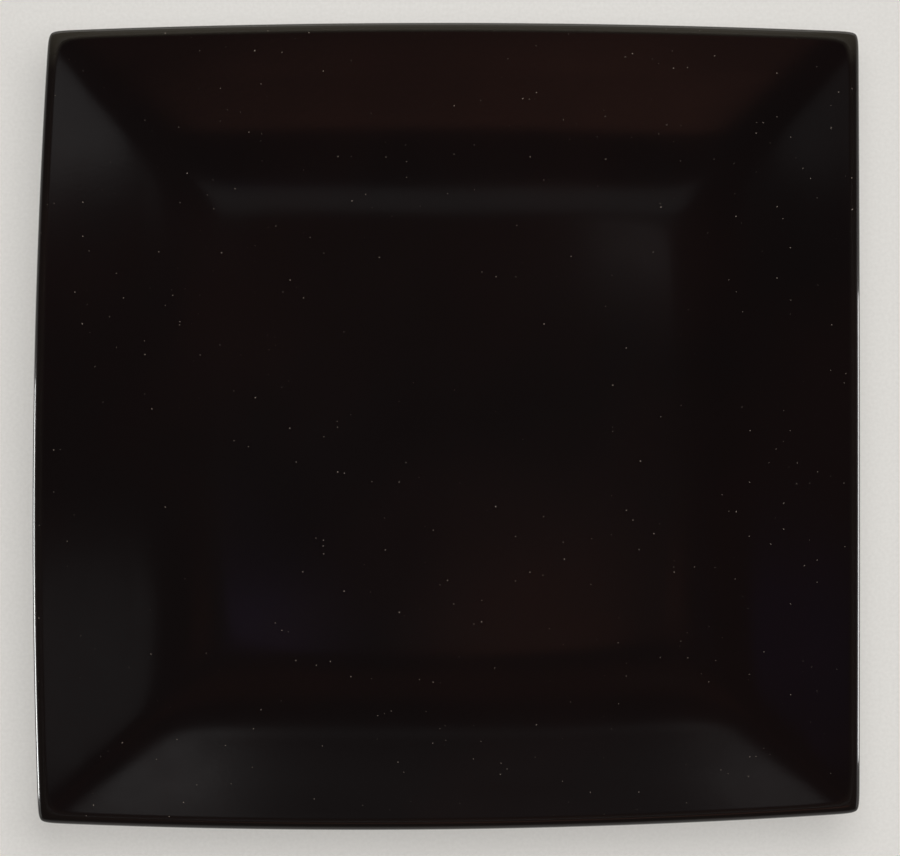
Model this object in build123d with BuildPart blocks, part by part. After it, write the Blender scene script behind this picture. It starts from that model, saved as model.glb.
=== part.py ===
from build123d import *
import os
from math import cos, radians, sin

# Square dinner plate, in millimetres: +Z is up, the foot stands on Z = 0, and -Y is the side
# nearest the diner. Sizes are those of the fired and glazed plate.

# Driving dimensions: the outline seen from above. The width is taken across the middles of the sides,
# and each corner lies inside that square by a little along X and along Y, so that the sides bow out.
WIDTH = 267.0
FRONT_LEFT_X = 2.3
FRONT_LEFT_Y = 2.8
FRONT_RIGHT_X = 0.3
FRONT_RIGHT_Y = 4.8
BACK_RIGHT_X = 0.3
BACK_RIGHT_Y = 3.7
BACK_LEFT_X = 4.4
BACK_LEFT_Y = 2.0
LIP_CORNER_RADIUS = 2.5

# Driving dimensions: the section through the middle of a side
FLOOR_WIDTH = 140.0
FLOOR_CORNER_RADIUS = 13.0
FLOOR_THICKNESS = 5.5
COVE_RADIUS = 85.0
BACK_RADIUS = 55.0
RIM_SLOPE = 22.0
RIM_THICKNESS = 4.6

# Driving dimensions: the foot ring and the glaze
FOOT_HEIGHT = 3.2
FOOT_THICKNESS = 6.0
FOOT_SETBACK = 4.5
FOOT_CORNER_RADIUS = 16.0
FOOT_BEVEL = 0.8
GLAZE_THICKNESS = 0.5
GLAZE_POOL = 0.9
BARE_FLANK = 1.4

# Strips that the loft takes over the cove, the rim's face, the lip, the rim's underside and the arc at
# the back. The clay's lip is hidden under the glaze and takes fewer.
COVE_STRIP_COUNT = 5
FACE_STRIP_COUNT = 4
LIP_STRIP_COUNT = 8
CLAY_LIP_STRIP_COUNT = 4
UNDERSIDE_STRIP_COUNT = 5
BACK_STRIP_COUNT = 3

# Places in the section: reach is the distance from the plate's middle
ground = 0.0
half_turn = 180.0
straight_down = -90.0
back_normal = straight_down + RIM_SLOPE
face_normal = back_normal + half_turn
slope = radians(RIM_SLOPE)
half_width = WIDTH / 2
floor_reach = FLOOR_WIDTH / 2
floor_top = FOOT_HEIGHT + FLOOR_THICKNESS
lip_round = RIM_THICKNESS / 2

# The lip's centre lies halfway through the rim, which leaves the cove at the rim's slope
cove_height = floor_top + COVE_RADIUS
cove_offset = COVE_RADIUS + lip_round
lip_reach = half_width - lip_round
rim_length = (lip_reach - floor_reach - cove_offset * sin(slope)) / cos(slope)
lip_height = cove_height - cove_offset * cos(slope) + rim_length * sin(slope)

# The back runs from the lip, alongside the rim's face, into an arc that ends flat on the base
back_height = FOOT_HEIGHT + BACK_RADIUS
back_offset = BACK_RADIUS - lip_round
back_length = (lip_height - back_height + back_offset * cos(slope)) / sin(slope)
back_reach = lip_reach - back_offset * sin(slope) - back_length * cos(slope)

# The foot ring stands just inside the place where the back starts to curve up
foot_width = 2 * (back_reach - FOOT_SETBACK)
foot_hole = foot_width - 2 * FOOT_THICKNESS
foot_hole_corner = FOOT_CORNER_RADIUS - FOOT_THICKNESS


def bowed_square(reach):
    """A square with sides that bow out to reach, and corners that tighten towards the lip."""
    share = reach / half_width
    front_left = (FRONT_LEFT_X * share - reach, FRONT_LEFT_Y * share - reach)
    front_right = (reach - FRONT_RIGHT_X * share, FRONT_RIGHT_Y * share - reach)
    back_right = (reach - BACK_RIGHT_X * share, reach - BACK_RIGHT_Y * share)
    back_left = (BACK_LEFT_X * share - reach, reach - BACK_LEFT_Y * share)
    depth = (half_width - reach) / (half_width - floor_reach)
    corner_radius = LIP_CORNER_RADIUS + (FLOOR_CORNER_RADIUS - LIP_CORNER_RADIUS) * depth
    with BuildSketch() as outline:
        with BuildLine():
            ThreePointArc(front_left, (0, -reach), front_right)
            ThreePointArc(front_right, (reach, 0), back_right)
            ThreePointArc(back_right, (0, reach), back_left)
            ThreePointArc(back_left, (-reach, 0), front_left)
        make_face()
        fillet(outline.vertices(), corner_radius)
    return outline.sketch


def stations(curve, strips):
    """Points that part a curve of the section into strips, without its end."""
    return [curve @ (step / strips) for step in range(strips)]


def dish(inset, lip_strips):
    """The plate without its foot ring, every surface moved inwards by inset."""
    with BuildLine():
        cove = CenterArc((floor_reach, cove_height), COVE_RADIUS + inset, straight_down, RIM_SLOPE)
        lip = CenterArc((lip_reach, lip_height), lip_round - inset, face_normal, -half_turn)
        back = CenterArc((back_reach, back_height), BACK_RADIUS - inset, back_normal, -RIM_SLOPE)
        rim_face = Line(cove @ 1, lip @ 0)
        underside = Line(lip @ 1, back @ 0)
    face_points = stations(cove, COVE_STRIP_COUNT) + stations(rim_face, FACE_STRIP_COUNT)
    back_points = stations(underside, UNDERSIDE_STRIP_COUNT) + stations(back, BACK_STRIP_COUNT)
    section = face_points + stations(lip, lip_strips) + back_points + [back @ 1]
    with BuildPart() as form:
        for point in section:
            with BuildSketch(Plane.XY.offset(point.Y)):
                add(bowed_square(point.X))
        loft(ruled=True)
    return form.part


def foot_ring(growth, bottom):
    """The foot ring from bottom up into the floor, its two flanks moved outwards by growth."""
    outer_width = foot_width + 2 * growth
    inner_width = foot_hole - 2 * growth
    with BuildPart() as ring:
        with BuildSketch(Plane.XY.offset(bottom)):
            RectangleRounded(outer_width, outer_width, FOOT_CORNER_RADIUS + growth)
            RectangleRounded(inner_width, inner_width, foot_hole_corner - growth, mode=Mode.SUBTRACT)
        extrude(amount=FOOT_HEIGHT + FLOOR_THICKNESS / 2 - bottom)
    return ring.part


os.makedirs("parts", exist_ok=True)

# Fired clay: the plate less its glaze, on a bare foot with eased edges
with BuildPart() as clay_body:
    add(dish(GLAZE_THICKNESS, CLAY_LIP_STRIP_COUNT))
    add(foot_ring(0, ground))
    sole = clay_body.faces().sort_by(Axis.Z)[0]
    chamfer(sole.edges(), FOOT_BEVEL)
clay_body.part.label = "clay_body"
export_step(clay_body.part, "parts/clay_body.step")

# Glaze: the skin between the clay and the finished surface, which the bare foot parts in two
with BuildPart() as glaze:
    add(dish(0, LIP_STRIP_COUNT))
    add(foot_ring(GLAZE_THICKNESS, BARE_FLANK))
    foot_root = glaze.edges(Select.NEW)
    chamfer(foot_root, GLAZE_POOL)
    add(clay_body.part, mode=Mode.SUBTRACT)
base_coat, outer_coat = glaze.solids().sort_by(SortBy.VOLUME)

with BuildPart() as outer_glaze:
    add(outer_coat)
outer_glaze.part.label = "outer_glaze"
export_step(outer_glaze.part, "parts/outer_glaze.step")

with BuildPart() as base_glaze:
    add(base_coat)
base_glaze.part.label = "base_glaze"
export_step(base_glaze.part, "parts/base_glaze.step")
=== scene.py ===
import cmath
import math

import bpy
from mathutils import Matrix, Vector, noise


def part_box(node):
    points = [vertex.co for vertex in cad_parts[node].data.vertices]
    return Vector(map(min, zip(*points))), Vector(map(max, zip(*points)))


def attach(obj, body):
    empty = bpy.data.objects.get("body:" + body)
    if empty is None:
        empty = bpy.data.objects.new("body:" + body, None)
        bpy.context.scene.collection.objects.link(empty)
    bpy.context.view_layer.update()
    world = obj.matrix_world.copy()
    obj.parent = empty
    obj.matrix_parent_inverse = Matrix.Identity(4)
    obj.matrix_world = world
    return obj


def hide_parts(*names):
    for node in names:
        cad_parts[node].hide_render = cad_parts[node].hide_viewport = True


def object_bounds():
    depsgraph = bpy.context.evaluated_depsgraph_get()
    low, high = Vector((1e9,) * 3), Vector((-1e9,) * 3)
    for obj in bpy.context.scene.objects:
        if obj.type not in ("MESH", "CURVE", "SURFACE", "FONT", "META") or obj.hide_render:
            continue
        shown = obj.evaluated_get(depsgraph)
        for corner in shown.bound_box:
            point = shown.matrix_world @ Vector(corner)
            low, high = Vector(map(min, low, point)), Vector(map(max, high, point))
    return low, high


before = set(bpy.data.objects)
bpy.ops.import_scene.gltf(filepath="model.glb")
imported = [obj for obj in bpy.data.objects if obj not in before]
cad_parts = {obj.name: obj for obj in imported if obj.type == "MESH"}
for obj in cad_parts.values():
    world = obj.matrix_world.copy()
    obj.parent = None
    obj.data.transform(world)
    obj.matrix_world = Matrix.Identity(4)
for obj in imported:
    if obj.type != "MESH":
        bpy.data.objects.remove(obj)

# Square black dinner plate, in metres: +Z is up, the foot stands on Z = 0, and -Y is the front.
MM = 0.001
cad_low, cad_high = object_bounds()

# The plate's outline, as it is in the solids: how far each corner lies inside the square, along X and Y
HALF_WIDTH = 133.45 * MM
FRONT_LEFT_INSET = (2.3 * MM, 2.8 * MM)
FRONT_RIGHT_INSET = (0.3 * MM, 4.8 * MM)
BACK_RIGHT_INSET = (0.3 * MM, 3.7 * MM)
BACK_LEFT_INSET = (4.4 * MM, 2.0 * MM)

# How far the sides blend into each other at the corners: tight round the lip, and soft down the creases
LIP_BLEND = 1.8 * MM
CREASE_BLEND = 3.0 * MM
FLOOR_BLEND = 9.0 * MM

# The plate's section, as it is in the solids
FLOOR_REACH = 70.0 * MM
FLOOR_TOP = 8.7 * MM
COVE_RADIUS = 85.0 * MM
BACK_RADIUS = 55.0 * MM
RIM_SLOPE = math.radians(22.0)
LIP_ROUND = 2.3 * MM
FOOT_HEIGHT = 3.2 * MM
FOOT_SETBACK = 4.5 * MM
FOOT_CORNER_RADIUS = 16.0 * MM
GLAZE_THICKNESS = 0.5 * MM
GLAZE_POOL = 0.9 * MM
GLAZE_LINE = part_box("outer_glaze")[0].z

# How finely the glaze is meshed round the outline and along the section
SIDE_STEPS = 56
SIDE_CROWDING = 2.4
FOOT_CORNER_STEPS = 12
FOOT_SIDE_STEPS = SIDE_STEPS - FOOT_CORNER_STEPS
FLOOR_STEPS = 20
COVE_STEPS = 18
SLOPE_STEPS = 18
LIP_STEPS = 26
INNER_SHARE = 0.4
SHARP_ANGLE = math.radians(30.0)

# The glaze lies a little unevenly on the clay, but not on the lip
WAVE_LENGTH = 60.0 * MM
WAVE_HEIGHT = 0.34 * MM
WAVE_FADE = 12.0 * MM

# The glaze thins over the lip, starting a little inside its crest, and pales there a little. Along the
# back the lip is painted much paler, a painted highlight for light from behind.
# A ring of points close to each end of the lip keeps the change narrow.
THIN_INSET = 1.2 * MM
THIN_FADE = 1.0 * MM
THIN_RING = 0.5 * MM
SIDE_SHARE = 0.09
LIT_BACK_START = 118.0 * MM
LIT_BACK_FADE = 12.0 * MM

# The photograph's frame, and where the middle of the plate's lip lies in it
IMAGE_WIDTH = 900
IMAGE_HEIGHT = 856
LIP_MIDDLE_PIXEL = (446.2, 423.3)
PIXELS_PER_METRE = 3100.0
CAMERA_DISTANCE = 10.0
CAMERA_TILT = math.radians(12.9)
CAMERA_SIDE_TILT = math.radians(1.7)
CAMERA_ROLL = math.radians(0.1)
SENSOR_WIDTH = 36.0

# The glaze's look: clouds from dark to rusty, the paler thin glaze over the lip with a painted highlight
# along the back lip, and specks that crowd in patches.
# Each noise is a scale per metre and a detail. Each ramp stop is a position and a colour.
CLOUD_NOISE = (13, 3)
CLOUD_DARK = (0.40, (0.0025, 0.0013, 0.0013))
CLOUD_RUSTY = (0.66, (0.0036, 0.0015, 0.0014))
# Paler lip colour: a little of it is thin glaze at the sides, and along the back it is a painted
# highlight.
THIN_AND_LIT_COLOUR = (0.027, 0.0235, 0.0175)
SPECK_COLOUR = (0.17, 0.145, 0.12)
SPECK_SCALE = 450
SPECK_SIZE = 0.095
PATCH_NOISE = (9, 1)
PATCH_RANGE = (0.35, 0.65)
BARE_TO_CROWDED = (0.82, 0.40)
SATIN_NOISE = (60, 4)
SATIN_ROUGHNESS = (0.12, 0.20)
GLAZE_SPECULAR = 0.42
GRAIN_NOISE = (700, 2)
GRAIN_STRENGTH = 0.08
GRAIN_DEPTH = 0.1 * MM

# The bare clay's look
MOTTLE_NOISE = (90, 5)
MOTTLE_DARK = (0.3, (0.27, 0.19, 0.13))
MOTTLE_PALE = (0.7, (0.43, 0.33, 0.24))
GRIT_NOISE = (1500, 2)
GRIT_ROUGHNESS = (0.7, 0.95)
GRIT_STRENGTH = 0.4
GRIT_DEPTH = 0.2 * MM
CLAY_SPECULAR = 0.25

# The floor's look. The glow is the share of its colour that it shows whatever light falls on it.
FLOOR_SIZE = 16.0
FIBRE_NOISE = (900, 2)
FIBRE_DARK = (0.3, (0.680, 0.662, 0.630))
FIBRE_PALE = (0.7, (0.720, 0.702, 0.670))
PAPER_ROUGHNESS = 0.9
PAPER_SPECULAR = 0.1
PAPER_GLOW = 0.65

# The room's colours, from the horizon up
SKY_HORIZON = (0.0, (0.4, 0.39, 0.37))
SKY_MIDDLE = (0.35, (0.07, 0.065, 0.065))
SKY_TOP = (1.0, (0.06, 0.054, 0.054))

# Lamps: name, place, what it faces, width and height, spread in degrees, brightness, colour.
# The strips at the left and right stand below the lip's top, so they show on its outer side and leave
# the face above it alone. The rim's underside gets a little of their light.
# The cards are small and dim, and each faces the part of the plate that mirrors it to the camera.
PLATE = (0.0, 0.0, 0.0)
WHITE = (1.0, 1.0, 1.0)
WARM = (1.0, 0.40, 0.27)
RUSTY = (1.0, 0.33, 0.18)
VIOLET = (0.57, 0.40, 1.0)
BLUE = (0.2, 0.2, 1.0)
WIDE = 179
CARD = 60
SPOT = 40
LAMPS = (
    ("softbox_left", (-1.25, -0.10, 0.18), PLATE, (0.8, 0.24), WIDE, 1.4, WHITE),
    ("softbox_right", (1.25, -0.095, 0.18), PLATE, (0.9, 0.24), WIDE, 1.4, WHITE),
    ("strip_left", (-0.175, -0.045, 0.016), (-0.1335, -0.045, 0.0243), (0.14, 0.014), SPOT, 60, WHITE),
    ("strip_right", (0.175, -0.025, 0.012), (0.1335, -0.025, 0.0243), (0.155, 0.022), SPOT, 38, WHITE),
    ("softbox_horizon", (0.0, 2.0, 0.25), PLATE, (3.0, 0.4), WIDE, 1.4, WHITE),
    ("strip_behind", (0.0, 0.20, 0.065), PLATE, (0.24, 0.10), WIDE, 0.25, WHITE),
    ("strip_overhead", (-0.04, 0.19, 3.0), PLATE, (0.6, 0.5), WIDE, 0.18, WHITE),
    ("card_front", (0.10, -0.445, 0.85), PLATE, (0.46, 0.19), WIDE, 0.34, WARM),
    ("card_back_left", (-0.118, 0.255, 0.278), (-0.10, -0.12, 0.02), (0.07, 0.035), CARD, 0.68, WHITE),
    ("card_back_middle", (0.0, 0.255, 0.278), (0.0, -0.12, 0.02), (0.20, 0.035), CARD, 0.12, WHITE),
    ("card_back_right", (0.10, 0.255, 0.278), (0.11, -0.12, 0.02), (0.07, 0.035), CARD, 0.42, WHITE),
    ("card_back_high", (0.0, 0.215, 0.53), (0.0, -0.085, 0.01), (0.25, 0.14), CARD, 0.05, RUSTY),
    ("card_right", (0.041, 0.157, 0.202), (-0.122, 0.10, 0.02), (0.05, 0.05), CARD, 0.50, WHITE),
    ("card_right_front", (0.077, -0.028, 0.236), (-0.12, -0.095, 0.02), (0.10, 0.05), CARD, 0.19, WHITE),
    ("card_left", (-0.06, 0.170, 0.190), (0.122, 0.115, 0.02), (0.05, 0.06), CARD, 0.15, WHITE),
    ("card_left_front", (-0.168, 0.014, 0.287), (0.11, -0.075, 0.015), (0.06, 0.06), CARD, 0.07, BLUE),
    ("card_above_right", (0.06, 0.154, 0.40), (0.072, 0.062, 0.009), (0.03, 0.03), SPOT, 0.36, WHITE),
    ("card_above_middle", (0.018, 0.044, 0.50), (0.032, -0.068, 0.009), (0.06, 0.04), SPOT, 0.24, RUSTY),
    ("card_above_left", (-0.083, 0.042, 0.50), (-0.068, -0.07, 0.01), (0.05, 0.04), SPOT, 0.24, VIOLET),
)
FILL_LAMP = ("fill_above", (0.35, 0.12, 1.8), PLATE, (1.4, 1.4), WIDE, 6.0, WHITE)

# Places in the section that follow from the sizes above. Points are complex numbers: reach and height
# in the section, X and Y in plan.
slope_sin = math.sin(RIM_SLOPE)
slope_cos = math.cos(RIM_SLOPE)
lip_reach = HALF_WIDTH - LIP_ROUND
rim_edge = lip_reach - LIP_ROUND * slope_sin
cove_height = FLOOR_TOP + COVE_RADIUS
cove_offset = COVE_RADIUS + LIP_ROUND
rim_length = (lip_reach - FLOOR_REACH - cove_offset * slope_sin) / slope_cos
lip_height = cove_height - cove_offset * slope_cos + rim_length * slope_sin
back_height = FOOT_HEIGHT + BACK_RADIUS
back_offset = BACK_RADIUS - LIP_ROUND
back_length = (lip_height - back_height + back_offset * slope_cos) / slope_sin
back_reach = lip_reach - back_offset * slope_sin - back_length * slope_cos
foot_reach = back_reach - FOOT_SETBACK


def corner_blend(reach):
    """Length over which two sides blend at a corner of the outline."""
    if reach > rim_edge:
        share = (HALF_WIDTH - reach) / (HALF_WIDTH - rim_edge)
        return LIP_BLEND + (CREASE_BLEND - LIP_BLEND) * share
    share = (rim_edge - reach) / (rim_edge - FLOOR_REACH)
    return CREASE_BLEND + (FLOOR_BLEND - CREASE_BLEND) * share


def outline_corners(reach):
    """The sharp corners of the outline, from the front left anticlockwise."""
    share = reach / HALF_WIDTH
    places = (
        (-1, -1, FRONT_LEFT_INSET),
        (1, -1, FRONT_RIGHT_INSET),
        (1, 1, BACK_RIGHT_INSET),
        (-1, 1, BACK_LEFT_INSET),
    )
    return [complex(x * (reach - dx * share), y * (reach - dy * share)) for x, y, (dx, dy) in places]


def circle_through(first, second, third):
    """Centre and radius of the circle through three points."""
    b, c = second - first, third - first
    from_first = (abs(b) ** 2 * c - abs(c) ** 2 * b) / (b.conjugate() * c - b * c.conjugate())
    return first + from_first, abs(from_first)


def heading(centre, point):
    """The direction of travel round a centre, anticlockwise, at a point."""
    return 1j * (point - centre) / abs(point - centre)


def side_stations(length):
    """Distances along a side, from its start, that crowd towards both of its corners."""
    end = math.tanh(SIDE_CROWDING)
    shares = [math.tanh(SIDE_CROWDING * (2 * step / SIDE_STEPS - 1)) / end for step in range(SIDE_STEPS)]
    return [length / 2 * (1 + share) for share in shares]


def arc_points(centre, start, end, steps):
    """Points on the short arc from start round to end, without the end."""
    turn = cmath.phase((end - centre) / (start - centre))
    return [centre + (start - centre) * cmath.exp(1j * turn * step / steps) for step in range(steps)]


def bowed_ring(reach):
    """The outline at a distance from the plate's middle: four bowed sides that blend at the corners."""
    blend = corner_blend(reach)
    corners = outline_corners(reach)
    middles = (complex(0, -reach), complex(reach, 0), complex(0, reach), complex(-reach, 0))
    sides = [circle_through(corners[k], middles[k], corners[(k + 1) % 4]) for k in range(4)]
    points = []
    for k in range(4):
        following = (k + 1) % 4
        centre, radius = sides[k]
        spoke = corners[k] - centre
        length = radius * cmath.phase((corners[following] - centre) / spoke)
        before = heading(sides[k - 1][0], corners[k])
        after = heading(sides[following][0], corners[following])
        for along in side_stations(length):
            first = blend / 2 * math.exp(-along / blend)
            last = blend / 2 * math.exp((along - length) / blend)
            on_side = centre + spoke * cmath.exp(1j * (along + first - last) / radius)
            points.append(on_side - before * first + after * last)
    return points


def foot_outline(reach, radius):
    """The foot ring's outline from its front left corner: a straight-sided square with round corners."""
    corners = [(reach - radius) * complex(*p) for p in ((1, -1), (1, 1), (-1, 1), (-1, -1))]
    outwards = [radius * direction for direction in (-1j, 1, 1j, -1)]
    points = []
    for k in range(4):
        start = corners[k - 1] + outwards[k]
        end = corners[k] + outwards[k]
        after = corners[k] + outwards[(k + 1) % 4]
        points += [start + (end - start) * step / FOOT_SIDE_STEPS for step in range(FOOT_SIDE_STEPS)]
        points += arc_points(corners[k], end, after, FOOT_CORNER_STEPS)
    half_corner = FOOT_CORNER_STEPS // 2
    return points[-half_corner:] + points[:-half_corner]


def section_arc(centre, radius, first, last, steps):
    """Points of the section along an arc, by the angle from straight down."""
    angles = [first + (last - first) * step / steps for step in range(steps + 1)]
    return [centre + radius * complex(math.sin(angle), -math.cos(angle)) for angle in angles]


def between(start, end, steps):
    """Points that part a straight run into steps, without its ends."""
    return [start + (end - start) * step / steps for step in range(1, steps)]


def beside_lip(lip_end, far):
    """A point close to an end of the lip, on the way to a far point."""
    return lip_end + (far - lip_end) / abs(far - lip_end) * THIN_RING


def section(inset, share):
    """The section from the floor's edge over the lip to the base's edge, sunk by inset."""
    cove_steps = round(COVE_STEPS * share)
    lip_steps = round(LIP_STEPS * share)
    slope_steps = round(SLOPE_STEPS * share)
    cove = section_arc(complex(FLOOR_REACH, cove_height), COVE_RADIUS + inset, 0, RIM_SLOPE, cove_steps)
    lip_centre = complex(lip_reach, lip_height)
    lip = section_arc(lip_centre, LIP_ROUND - inset, RIM_SLOPE + math.pi, RIM_SLOPE, lip_steps)
    back = section_arc(complex(back_reach, back_height), BACK_RADIUS - inset, RIM_SLOPE, 0, cove_steps)
    face = between(cove[-1], lip[0], slope_steps) + [beside_lip(lip[0], cove[-1])]
    underside = [beside_lip(lip[-1], back[0])] + between(lip[-1], back[0], slope_steps)
    return cove + face + lip + underside + back


def raised(points, height):
    """A ring of plan points at a height."""
    return [Vector((p.real, p.imag, height)) for p in points]


def floor_rings(height, steps):
    """Rings over the flat floor, from near the middle out to its edge."""
    edge = bowed_ring(FLOOR_REACH)
    return [raised([p * step / steps for p in edge], height) for step in range(1, steps)]


def skin_rings(inset, share):
    """Rings over the floor, the rim, the lip and the back, sunk by inset."""
    rings = floor_rings(FLOOR_TOP - inset, round(FLOOR_STEPS * share))
    return rings + [raised(bowed_ring(p.real), p.imag) for p in section(inset, share)]


def foot_rings():
    """Rings from the base over the glaze pooled at the foot, round the glaze's edge to the clay."""
    outer = foot_reach + GLAZE_THICKNESS
    outer_corner = FOOT_CORNER_RADIUS + GLAZE_THICKNESS
    return [
        raised(foot_outline(outer + GLAZE_POOL, outer_corner + GLAZE_POOL), FOOT_HEIGHT),
        raised(foot_outline(outer, outer_corner), FOOT_HEIGHT - GLAZE_POOL),
        raised(foot_outline(outer, outer_corner), GLAZE_LINE),
        raised(foot_outline(foot_reach, FOOT_CORNER_RADIUS), GLAZE_LINE),
        raised(foot_outline(foot_reach, FOOT_CORNER_RADIUS), FOOT_HEIGHT + GLAZE_THICKNESS),
    ]


def closed_mesh(name, rings):
    """A closed mesh from rings of equal length, with a middle point at each end."""
    count = len(rings[0])
    points = [point for ring in rings for point in ring]
    faces = []
    for row in range(len(rings) - 1):
        for step in range(count):
            a = row * count + step
            b = row * count + (step + 1) % count
            faces.append((a, a + count, b + count, b))
    last_ring = len(points) - count
    first_middle = len(points)
    last_middle = first_middle + 1
    for step in range(count):
        following = (step + 1) % count
        faces.append((first_middle, step, following))
    for step in range(count):
        following = (step + 1) % count
        faces.append((last_middle, last_ring + following, last_ring + step))
    points += [Vector((0, 0, rings[0][0].z)), Vector((0, 0, rings[-1][0].z))]
    mesh = bpy.data.meshes.new(name)
    mesh.from_pydata(points, [], faces)
    mesh.validate()
    return mesh


def add_waves(mesh):
    """Lifts and sinks the surface by a fraction of a millimetre, as a dipped glaze does."""
    for vertex in mesh.vertices:
        to_lip = lip_reach - LIP_ROUND - max(abs(vertex.co.x), abs(vertex.co.y))
        fade = min(max(to_lip / WAVE_FADE, 0), 1)
        if vertex.co.z > FLOOR_TOP - GLAZE_THICKNESS / 2:
            vertex.co.z += noise.noise(vertex.co / WAVE_LENGTH) * WAVE_HEIGHT * fade


def mark_thin_glaze_and_lit_back(mesh, count):
    """Marks how much of the paler lip colour each point of the outer skin takes: a little where the
    glaze thins over the lip, and all of it along the back, which is a painted highlight.
    """
    past_start = [p.real - lip_reach + THIN_INSET for p in section(0, 1)]
    shares = [0] * (FLOOR_STEPS - 1) + [min(max(past / THIN_FADE, 0), 1) for past in past_start]
    layer = mesh.attributes.new("thin_and_lit_share", "FLOAT", "POINT")
    for row, share in enumerate(shares):
        for index in range(row * count, (row + 1) * count):
            # Along the back the lip takes the full paler colour, a painted highlight for light from
            # behind.
            back = min(max((mesh.vertices[index].co.y - LIT_BACK_START) / LIT_BACK_FADE, 0), 1)
            layer.data[index].value = share * (SIDE_SHARE + (1 - SIDE_SHARE) * back)


def glaze_piece():
    """The coat over the face, lip, back and foot flank, as one closed skin."""
    outside = skin_rings(0, 1) + foot_rings()
    inside = skin_rings(GLAZE_THICKNESS, INNER_SHARE)
    mesh = closed_mesh("plate_glaze", outside + inside[::-1])
    add_waves(mesh)
    mark_thin_glaze_and_lit_back(mesh, len(outside[0]))
    mesh.shade_smooth()
    mesh.set_sharp_from_angle(angle=SHARP_ANGLE)
    piece = bpy.data.objects.new("plate_glaze", mesh)
    bpy.context.scene.collection.objects.link(piece)
    return piece


def new_material(name, specular):
    """A node material with its shader's specular level set, and a texture coordinate."""
    material = bpy.data.materials.new(name)
    material.use_nodes = True
    nodes = material.node_tree.nodes
    shader = nodes["Principled BSDF"]
    shader.inputs["Specular IOR Level"].default_value = specular
    place = nodes.new("ShaderNodeTexCoord").outputs["Object"]
    return material, nodes, material.node_tree.links, shader, place


def ramp(nodes, low, high):
    """A colour ramp between two (position, colour) stops."""
    node = nodes.new("ShaderNodeValToRGB")
    for element, (position, colour) in zip(node.color_ramp.elements, (low, high)):
        element.position = position
        element.color = (*colour, 1)
    return node


def noise_value(nodes, links, place, scale_and_detail):
    """The value of a noise texture at a place."""
    node = nodes.new("ShaderNodeTexNoise")
    node.inputs["Scale"].default_value, node.inputs["Detail"].default_value = scale_and_detail
    links.new(place, node.inputs["Vector"])
    return node.outputs["Fac"]


def map_range(nodes, links, value, ends):
    """A value from 0 to 1, spread between two ends."""
    node = nodes.new("ShaderNodeMapRange")
    node.inputs["To Min"].default_value, node.inputs["To Max"].default_value = ends
    links.new(value, node.inputs["Value"])
    return node


def mix_colour(nodes, links, share, base, colour):
    """A colour laid over a base colour by a share."""
    node = nodes.new("ShaderNodeMix")
    node.data_type = "RGBA"
    links.new(share, node.inputs["Factor"])
    links.new(base, node.inputs["A"])
    node.inputs["B"].default_value = (*colour, 1)
    return node.outputs["Result"]


def math_value(nodes, links, operation, first, second):
    """The result of a calculation on two values."""
    node = nodes.new("ShaderNodeMath")
    node.operation = operation
    links.new(first, node.inputs[0])
    links.new(second, node.inputs[1])
    return node.outputs["Value"]


def add_bump(nodes, links, shader, height, strength, depth):
    """A bump on the shader from a height value."""
    bump = nodes.new("ShaderNodeBump")
    bump.inputs["Strength"].default_value = strength
    bump.inputs["Distance"].default_value = depth
    links.new(height, bump.inputs["Height"])
    links.new(bump.outputs["Normal"], shader.inputs["Normal"])


def speck_share(nodes, links, place):
    """One inside a speck and nought elsewhere. Specks differ in size and crowd in patches."""
    cells = nodes.new("ShaderNodeTexVoronoi")
    cells.inputs["Scale"].default_value = SPECK_SCALE
    links.new(place, cells.inputs["Vector"])
    draw = nodes.new("ShaderNodeSeparateColor")
    links.new(cells.outputs["Color"], draw.inputs["Color"])
    patches = noise_value(nodes, links, place, PATCH_NOISE)
    least = map_range(nodes, links, patches, BARE_TO_CROWDED)
    least.inputs["From Min"].default_value, least.inputs["From Max"].default_value = PATCH_RANGE
    size = map_range(nodes, links, draw.outputs["Red"], (0.0, SPECK_SIZE))
    links.new(least.outputs["Result"], size.inputs["From Min"])
    return math_value(nodes, links, "LESS_THAN", cells.outputs["Distance"], size.outputs["Result"])


def glaze_material():
    """Satin black glaze: faintly rusty in clouds, a little paler where thin over the lip, with a painted
    highlight along the back lip, and sparse pale specks.
    """
    material, nodes, links, shader, place = new_material("satin_black_glaze", GLAZE_SPECULAR)
    tint = ramp(nodes, CLOUD_DARK, CLOUD_RUSTY)
    links.new(noise_value(nodes, links, place, CLOUD_NOISE), tint.inputs["Fac"])
    thin_and_lit_share = nodes.new("ShaderNodeAttribute")
    thin_and_lit_share.attribute_name = "thin_and_lit_share"
    # The lip's paler colour is thin glaze at the sides and a painted highlight along the back.
    coat = mix_colour(nodes, links, thin_and_lit_share.outputs["Fac"], tint.outputs["Color"], THIN_AND_LIT_COLOUR)
    colour = mix_colour(nodes, links, speck_share(nodes, links, place), coat, SPECK_COLOUR)
    links.new(colour, shader.inputs["Base Color"])

    satin = noise_value(nodes, links, place, SATIN_NOISE)
    rough = map_range(nodes, links, satin, SATIN_ROUGHNESS)
    links.new(rough.outputs["Result"], shader.inputs["Roughness"])
    grain = noise_value(nodes, links, place, GRAIN_NOISE)
    add_bump(nodes, links, shader, grain, GRAIN_STRENGTH, GRAIN_DEPTH)
    return material


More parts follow.
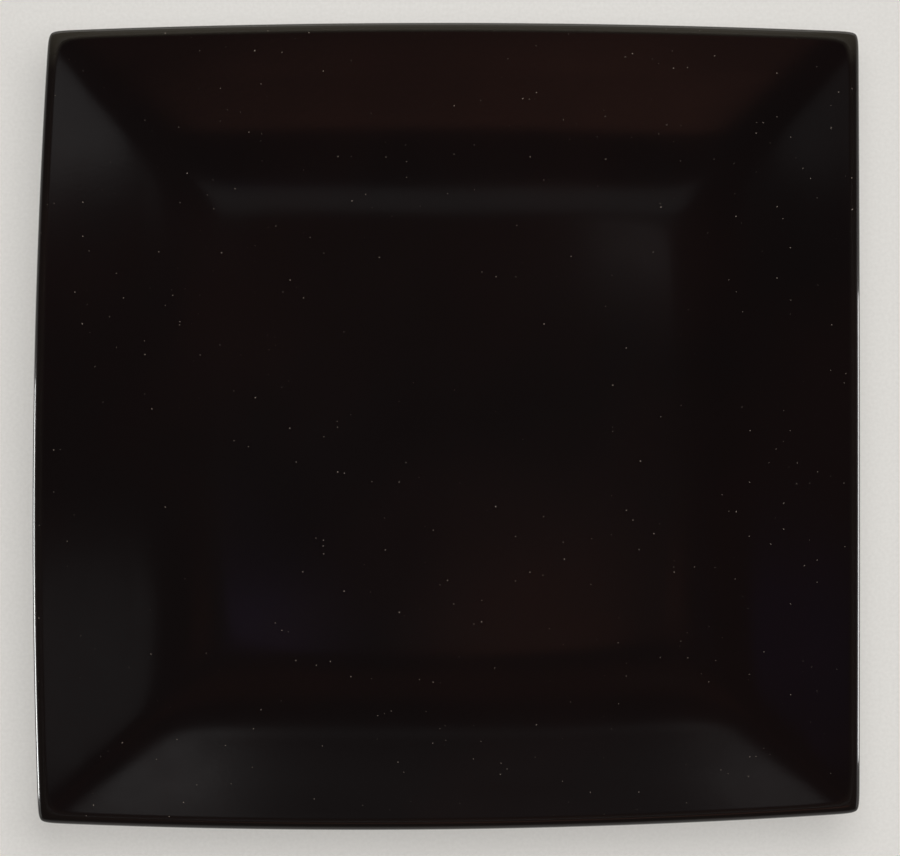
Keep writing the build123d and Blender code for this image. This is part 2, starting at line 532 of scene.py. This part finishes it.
def clay_material():
    """Bare fired stoneware: mottled buff brown and gritty."""
    material, nodes, links, shader, place = new_material("bare_stoneware", CLAY_SPECULAR)
    tint = ramp(nodes, MOTTLE_DARK, MOTTLE_PALE)
    links.new(noise_value(nodes, links, place, MOTTLE_NOISE), tint.inputs["Fac"])
    links.new(tint.outputs["Color"], shader.inputs["Base Color"])
    grit = noise_value(nodes, links, place, GRIT_NOISE)
    rough = map_range(nodes, links, grit, GRIT_ROUGHNESS)
    links.new(rough.outputs["Result"], shader.inputs["Roughness"])
    add_bump(nodes, links, shader, grit, GRIT_STRENGTH, GRIT_DEPTH)
    return material


def floor_material():
    """Pale warm paper with a faint fibre. It looks pale without more light on the plate."""
    material, nodes, links, shader, place = new_material("pale_paper", PAPER_SPECULAR)
    shader.inputs["Roughness"].default_value = PAPER_ROUGHNESS
    tint = ramp(nodes, FIBRE_DARK, FIBRE_PALE)
    links.new(noise_value(nodes, links, place, FIBRE_NOISE), tint.inputs["Fac"])
    links.new(tint.outputs["Color"], shader.inputs["Base Color"])
    glow = nodes.new("ShaderNodeEmission")
    links.new(tint.outputs["Color"], glow.inputs["Color"])

    ray = nodes.new("ShaderNodeLightPath").outputs
    seen = math_value(nodes, links, "MAXIMUM", ray["Is Camera Ray"], ray["Is Glossy Ray"])
    seen = math_value(nodes, links, "MAXIMUM", seen, ray["Is Transmission Ray"])
    share = map_range(nodes, links, seen, (0.0, PAPER_GLOW))
    blend = nodes.new("ShaderNodeMixShader")
    links.new(share.outputs["Result"], blend.inputs["Fac"])
    links.new(shader.outputs["BSDF"], blend.inputs[1])
    links.new(glow.outputs["Emission"], blend.inputs[2])
    links.new(blend.outputs["Shader"], nodes["Material Output"].inputs["Surface"])
    return material


def add_floor():
    """A wide level floor under the foot ring."""
    half = FLOOR_SIZE / 2
    mesh = bpy.data.meshes.new("floor")
    corners = [(-half, -half, 0), (half, -half, 0), (half, half, 0), (-half, half, 0)]
    mesh.from_pydata(corners, [], [(0, 1, 2, 3)])
    mesh.materials.append(floor_material())
    floor = bpy.data.objects.new("floor", mesh)
    bpy.context.scene.collection.objects.link(floor)


def add_lamp(name, place, aim, size, spread, brightness, colour):
    """A rectangular lamp that faces its aim. At brightness 1 it looks white from there."""
    half_spread = math.radians(spread) / 2
    lamp = bpy.data.lights.new(name, "AREA")
    lamp.shape = "RECTANGLE"
    lamp.size, lamp.size_y = size
    lamp.spread = 2 * half_spread
    narrowing = 1 - half_spread / math.tan(half_spread)
    lamp.energy = brightness * math.pi * lamp.size * lamp.size_y * narrowing
    lamp.color = colour
    holder = bpy.data.objects.new(name, lamp)
    holder.location = place
    holder.rotation_euler = (Vector(aim) - Vector(place)).to_track_quat("-Z", "Y").to_euler()
    holder.visible_camera = False
    bpy.context.scene.collection.objects.link(holder)
    return holder


def add_light():
    """The lamps of the table, and a soft fill that the glaze does not mirror."""
    for lamp in LAMPS:
        add_lamp(*lamp)
    fill = add_lamp(*FILL_LAMP)
    fill.visible_glossy = False


def add_room():
    """A dim room that pales towards the horizon."""
    world = bpy.data.worlds.new("studio")
    bpy.context.scene.world = world
    world.use_nodes = True
    nodes, links = world.node_tree.nodes, world.node_tree.links
    place = nodes.new("ShaderNodeTexCoord")
    axes = nodes.new("ShaderNodeSeparateXYZ")
    links.new(place.outputs["Generated"], axes.inputs["Vector"])
    sky = ramp(nodes, SKY_HORIZON, SKY_TOP)
    position, colour = SKY_MIDDLE
    sky.color_ramp.elements.new(position).color = (*colour, 1)
    links.new(axes.outputs["Z"], sky.inputs["Fac"])
    links.new(sky.outputs["Color"], nodes["Background"].inputs["Color"])


def add_camera():
    """A long lens nearly straight above, tilted a little towards the front."""
    toward = Vector((math.tan(CAMERA_SIDE_TILT), -math.tan(CAMERA_TILT), 1)).normalized()
    right = Vector((0, 1, 0)).cross(toward).normalized()
    up = toward.cross(right)
    turn = Matrix((right, up, toward)).transposed() @ Matrix.Rotation(CAMERA_ROLL, 3, "Z")
    lip_middle = Vector((0, 0, cad_high.z))
    aside = (IMAGE_WIDTH / 2 - LIP_MIDDLE_PIXEL[0]) / PIXELS_PER_METRE
    below = (IMAGE_HEIGHT / 2 - LIP_MIDDLE_PIXEL[1]) / PIXELS_PER_METRE
    aim = lip_middle + right * aside - up * below
    data = bpy.data.cameras.new("camera")
    data.sensor_width = SENSOR_WIDTH
    data.sensor_fit = "HORIZONTAL"
    data.lens = SENSOR_WIDTH * PIXELS_PER_METRE * CAMERA_DISTANCE / IMAGE_WIDTH
    data.clip_end = 4 * CAMERA_DISTANCE
    camera = bpy.data.objects.new("camera", data)
    camera.matrix_world = Matrix.Translation(aim + toward * CAMERA_DISTANCE) @ turn.to_4x4()
    bpy.context.scene.collection.objects.link(camera)
    bpy.context.scene.camera = camera


glaze = glaze_material()
plate = glaze_piece()
plate.data.materials.append(glaze)
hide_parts("outer_glaze")
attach(plate, "root")
for node, material in (("clay_body", clay_material()), ("base_glaze", glaze)):
    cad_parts[node].data.materials.clear()
    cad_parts[node].data.materials.append(material)

add_floor()
add_light()
add_room()
add_camera()
bpy.context.scene.view_settings.view_transform = "Standard"
